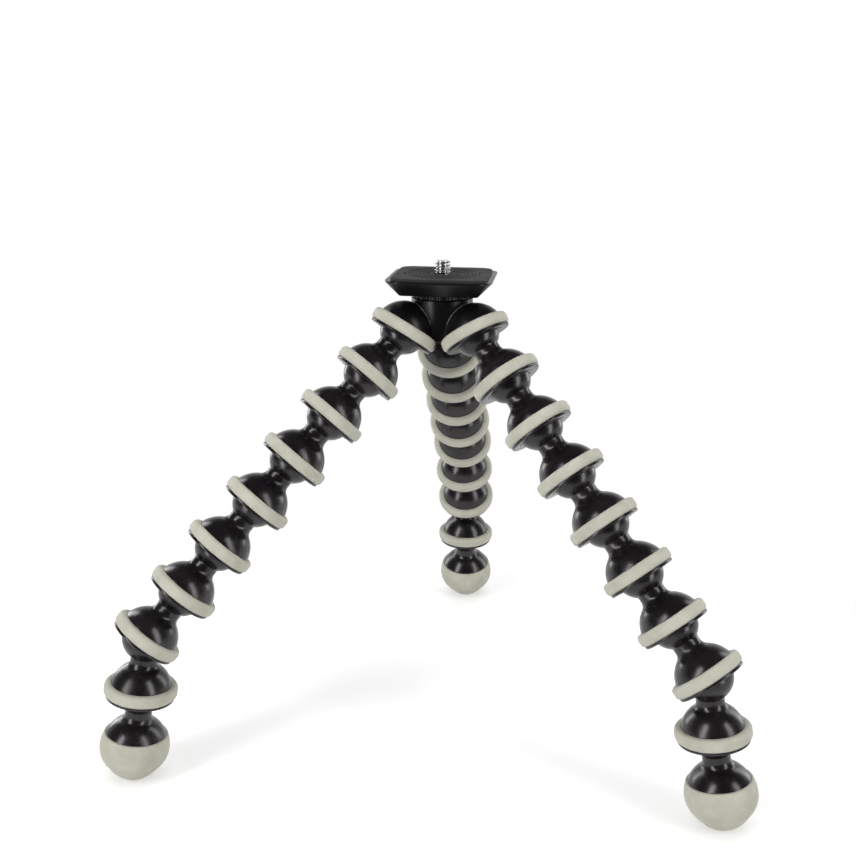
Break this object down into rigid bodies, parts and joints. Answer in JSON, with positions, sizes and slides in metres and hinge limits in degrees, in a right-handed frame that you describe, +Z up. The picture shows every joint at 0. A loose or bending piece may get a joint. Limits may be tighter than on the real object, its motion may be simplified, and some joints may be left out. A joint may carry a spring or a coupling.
{
  "type": "flexible leg tripod",
  "caption": "Table tripod with bendable legs of ball-and-socket beads, rubber grip rings and round feet, and a sliding camera plate with a quarter-inch screw.",
  "frame": {"origin": "centre of the camera pad's top face, on the camera screw's axis", "axes": "+Z up along the camera screw, away from the hub; +Y along the rear leg"},
  "size_m": [0.2513, 0.2195, 0.1974],
  "materials": {
    "bead_plastic": "satin black moulded ABS",
    "hub_plastic": "polished black moulded ABS",
    "grip_rubber": "matt warm grey thermoplastic rubber",
    "pad_rubber": "matt black rubber",
    "screw_steel": "plated steel"
  },
  "bodies": {
    "hub": {"hub_body": "hub_plastic", "hub_grip_rings": "grip_rubber"},
    "lock_ring": {"lock_ring": "hub_plastic"},
    "plate": {"camera_plate": "hub_plastic", "plate_pad": "pad_rubber"},
    "screw": {"camera_screw": "screw_steel"},
    "left_link_1": {"left_bead_1": "bead_plastic", "left_grip_ring_1": "grip_rubber"},
    "left_link_2": {"left_bead_2": "bead_plastic", "left_grip_ring_2": "grip_rubber"},
    "left_link_3": {"left_bead_3": "bead_plastic", "left_grip_ring_3": "grip_rubber"},
    "left_link_4": {"left_bead_4": "bead_plastic", "left_grip_ring_4": "grip_rubber"},
    "left_link_5": {"left_bead_5": "bead_plastic", "left_grip_ring_5": "grip_rubber"},
    "left_link_6": {"left_bead_6": "bead_plastic", "left_grip_ring_6": "grip_rubber"},
    "left_link_7": {"left_bead_7": "bead_plastic", "left_grip_ring_7": "grip_rubber"},
    "left_link_8": {"left_bead_8": "bead_plastic", "left_grip_ring_8": "grip_rubber"},
    "left_foot_link": {"left_foot": "bead_plastic", "left_foot_cap": "grip_rubber"},
    "right_link_1": {"right_bead_1": "bead_plastic", "right_grip_ring_1": "grip_rubber"},
    "right_link_2": {"right_bead_2": "bead_plastic", "right_grip_ring_2": "grip_rubber"},
    "right_link_3": {"right_bead_3": "bead_plastic", "right_grip_ring_3": "grip_rubber"},
    "right_link_4": {"right_bead_4": "bead_plastic", "right_grip_ring_4": "grip_rubber"},
    "right_link_5": {"right_bead_5": "bead_plastic", "right_grip_ring_5": "grip_rubber"},
    "right_link_6": {"right_bead_6": "bead_plastic", "right_grip_ring_6": "grip_rubber"},
    "right_link_7": {"right_bead_7": "bead_plastic", "right_grip_ring_7": "grip_rubber"},
    "right_link_8": {"right_bead_8": "bead_plastic", "right_grip_ring_8": "grip_rubber"},
    "right_foot_link": {"right_foot": "bead_plastic", "right_foot_cap": "grip_rubber"},
    "rear_link_1": {"rear_bead_1": "bead_plastic", "rear_grip_ring_1": "grip_rubber"},
    "rear_link_2": {"rear_bead_2": "bead_plastic", "rear_grip_ring_2": "grip_rubber"},
    "rear_link_3": {"rear_bead_3": "bead_plastic", "rear_grip_ring_3": "grip_rubber"},
    "rear_link_4": {"rear_bead_4": "bead_plastic", "rear_grip_ring_4": "grip_rubber"},
    "rear_link_5": {"rear_bead_5": "bead_plastic", "rear_grip_ring_5": "grip_rubber"},
    "rear_link_6": {"rear_bead_6": "bead_plastic", "rear_grip_ring_6": "grip_rubber"},
    "rear_link_7": {"rear_bead_7": "bead_plastic", "rear_grip_ring_7": "grip_rubber"},
    "rear_link_8": {"rear_bead_8": "bead_plastic", "rear_grip_ring_8": "grip_rubber"},
    "rear_foot_link": {"rear_foot": "bead_plastic", "rear_foot_cap": "grip_rubber"}
  },
  "joints": [
    {"name": "plate_slide", "type": "slide", "parent": "hub", "child": "plate", "axis": [0, -1, 0], "range_m": [0, 0.034]},
    {"name": "lock_turn", "type": "hinge", "parent": "hub", "child": "lock_ring", "pos_m": [0, 0, -0.0081], "axis": [0, 0, 1], "range_deg": [0, 120]},
    {"name": "screw_turn", "type": "hinge", "parent": "plate", "child": "screw", "pos_m": [0, 0, 0], "axis": [0, 0, 1], "continuous": true},
    {"name": "left_bend_1", "type": "hinge", "parent": "hub", "child": "left_link_1", "pos_m": [-0.01409, -0.00813, -0.0219], "axis": [-0.5, 0.866, 0], "range_deg": [-43.82, 24.18]},
    {"name": "left_bend_2", "type": "hinge", "parent": "left_link_1", "child": "left_link_2", "pos_m": [-0.02728, -0.01575, -0.03778], "axis": [0.5, -0.866, 0], "range_deg": [-34, 34]},
    {"name": "left_sway_3", "type": "hinge", "parent": "left_link_2", "child": "left_link_3", "pos_m": [-0.04048, -0.02337, -0.05365], "axis": [-0.6248, -0.3608, 0.6924], "range_deg": [-33, 33]},
    {"name": "left_bend_4", "type": "hinge", "parent": "left_link_3", "child": "left_link_4", "pos_m": [-0.05367, -0.03099, -0.06953], "axis": [-0.5, 0.866, 0], "range_deg": [-34, 34]},
    {"name": "left_sway_5", "type": "hinge", "parent": "left_link_4", "child": "left_link_5", "pos_m": [-0.06687, -0.03861, -0.0854], "axis": [-0.6248, -0.3608, 0.6924], "range_deg": [-33, 33]},
    {"name": "left_bend_6", "type": "hinge", "parent": "left_link_5", "child": "left_link_6", "pos_m": [-0.08006, -0.04622, -0.10128], "axis": [-0.5, 0.866, 0], "range_deg": [-32.18, 35.82]},
    {"name": "left_sway_7", "type": "hinge", "parent": "left_link_6", "child": "left_link_7", "pos_m": [-0.09281, -0.05359, -0.11763], "axis": [-0.6436, -0.3716, 0.6691], "range_deg": [-33, 33]},
    {"name": "left_bend_8", "type": "hinge", "parent": "left_link_7", "child": "left_link_8", "pos_m": [-0.10556, -0.06095, -0.13399], "axis": [-0.5, 0.866, 0], "range_deg": [-1, 67]},
    {"name": "left_foot_sway", "type": "hinge", "parent": "left_link_8", "child": "left_foot_link", "pos_m": [-0.10855, -0.06267, -0.15572], "axis": [-0.8554, -0.4938, 0.1564], "range_deg": [-33, 33]},
    {"name": "right_bend_1", "type": "hinge", "parent": "hub", "child": "right_link_1", "pos_m": [0.01409, -0.00813, -0.0219], "axis": [-0.5, -0.866, 0], "range_deg": [-43.2, 24.8]},
    {"name": "right_bend_2", "type": "hinge", "parent": "right_link_1", "child": "right_link_2", "pos_m": [0.02713, -0.01566, -0.03794], "axis": [0.5, 0.866, 0], "range_deg": [-34, 34]},
    {"name": "right_sway_3", "type": "hinge", "parent": "right_link_2", "child": "right_link_3", "pos_m": [0.04018, -0.0232, -0.05398], "axis": [0.6313, -0.3645, 0.6845], "range_deg": [-33, 33]},
    {"name": "right_bend_4", "type": "hinge", "parent": "right_link_3", "child": "right_link_4", "pos_m": [0.05322, -0.03073, -0.07002], "axis": [-0.5, -0.866, 0], "range_deg": [-34, 34]},
    {"name": "right_sway_5", "type": "hinge", "parent": "right_link_4", "child": "right_link_5", "pos_m": [0.06626, -0.03826, -0.08607], "axis": [0.6313, -0.3645, 0.6845], "range_deg": [-33, 33]},
    {"name": "right_bend_6", "type": "hinge", "parent": "right_link_5", "child": "right_link_6", "pos_m": [0.07931, -0.04579, -0.10211], "axis": [-0.5, -0.866, 0], "range_deg": [-33.8, 34.2]},
    {"name": "right_sway_7", "type": "hinge", "parent": "right_link_6", "child": "right_link_7", "pos_m": [0.0923, -0.05329, -0.1182], "axis": [0.6334, -0.3657, 0.682], "range_deg": [-33, 33]},
    {"name": "right_bend_8", "type": "hinge", "parent": "right_link_7", "child": "right_link_8", "pos_m": [0.1053, -0.0608, -0.13429], "axis": [-0.5, -0.866, 0], "range_deg": [-1, 67]},
    {"name": "right_foot_sway", "type": "hinge", "parent": "right_link_8", "child": "right_foot_link", "pos_m": [0.10861, -0.06271, -0.15596], "axis": [0.8471, -0.4891, 0.2079], "range_deg": [-33, 33]},
    {"name": "rear_bend_1", "type": "hinge", "parent": "hub", "child": "rear_link_1", "pos_m": [0, 0.01627, -0.0219], "axis": [1, 0, 0], "range_deg": [-46.79, 21.21]},
    {"name": "rear_bend_2", "type": "hinge", "parent": "rear_link_1", "child": "rear_link_2", "pos_m": [0, 0.0323, -0.03697], "axis": [-1, 0, 0], "range_deg": [-34, 34]},
    {"name": "rear_sway_3", "type": "hinge", "parent": "rear_link_2", "child": "rear_link_3", "pos_m": [0, 0.04834, -0.05203], "axis": [0, 0.6847, 0.7288], "range_deg": [-33, 33]},
    {"name": "rear_bend_4", "type": "hinge", "parent": "rear_link_3", "child": "rear_link_4", "pos_m": [0, 0.06438, -0.0671], "axis": [1, 0, 0], "range_deg": [-34, 34]},
    {"name": "rear_sway_5", "type": "hinge", "parent": "rear_link_4", "child": "rear_link_5", "pos_m": [0, 0.08042, -0.08216], "axis": [0, 0.6847, 0.7288], "range_deg": [-33, 33]},
    {"name": "rear_bend_6", "type": "hinge", "parent": "rear_link_5", "child": "rear_link_6", "pos_m": [0, 0.09646, -0.09723], "axis": [1, 0, 0], "range_deg": [-20.21, 47.79]},
    {"name": "rear_sway_7", "type": "hinge", "parent": "rear_link_6", "child": "rear_link_7", "pos_m": [0, 0.10844, -0.11568], "axis": [0, 0.8387, 0.5446], "range_deg": [-33, 33]},
    {"name": "rear_bend_8", "type": "hinge", "parent": "rear_link_7", "child": "rear_link_8", "pos_m": [0, 0.12043, -0.13414], "axis": [1, 0, 0], "range_deg": [-6, 62]},
    {"name": "rear_foot_sway", "type": "hinge", "parent": "rear_link_8", "child": "rear_foot_link", "pos_m": [0, 0.12234, -0.15606], "axis": [0, 0.9744, 0.225], "range_deg": [-33, 33]}
  ]
}
